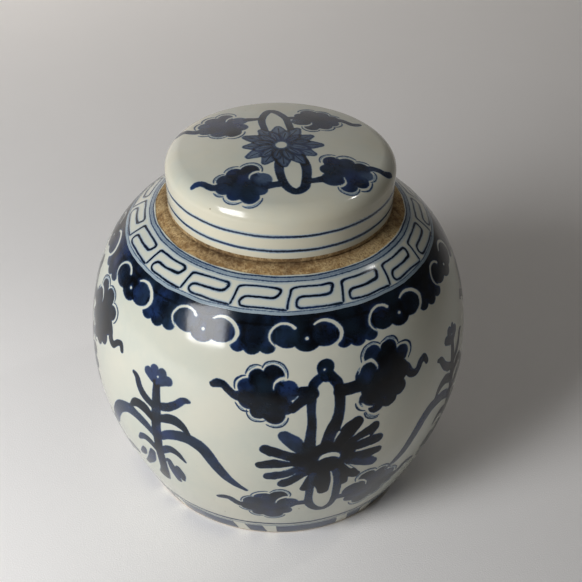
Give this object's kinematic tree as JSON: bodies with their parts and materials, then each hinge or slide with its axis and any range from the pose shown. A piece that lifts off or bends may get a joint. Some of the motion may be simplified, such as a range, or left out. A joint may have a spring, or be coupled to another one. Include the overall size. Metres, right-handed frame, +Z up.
{
  "type": "ginger jar",
  "caption": "Globular porcelain ginger jar with a short neck and a flat-topped cap lid, painted in cobalt blue under a clear glaze.",
  "frame": {"origin": "centre of the foot ring's underside, on the surface that the jar stands on", "axes": "+Z up along the axis of revolution; -Y faces the viewer and the painted flower spray stands a little to the right of it"},
  "size_m": [0.22, 0.22, 0.2157],
  "materials": {
    "painted_porcelain": "clear gloss glaze over cobalt painting on ivory white",
    "lid_porcelain": "clear gloss glaze over cobalt painting on ivory white"
  },
  "bodies": {
    "jar": {"jar_body": "painted_porcelain"},
    "cap": {"lid": "lid_porcelain"}
  },
  "joints": [
    {"name": "lid_lift", "type": "slide", "parent": "jar", "child": "cap", "axis": [0, 0, 1], "range_m": [0, 0.1]}
  ]
}
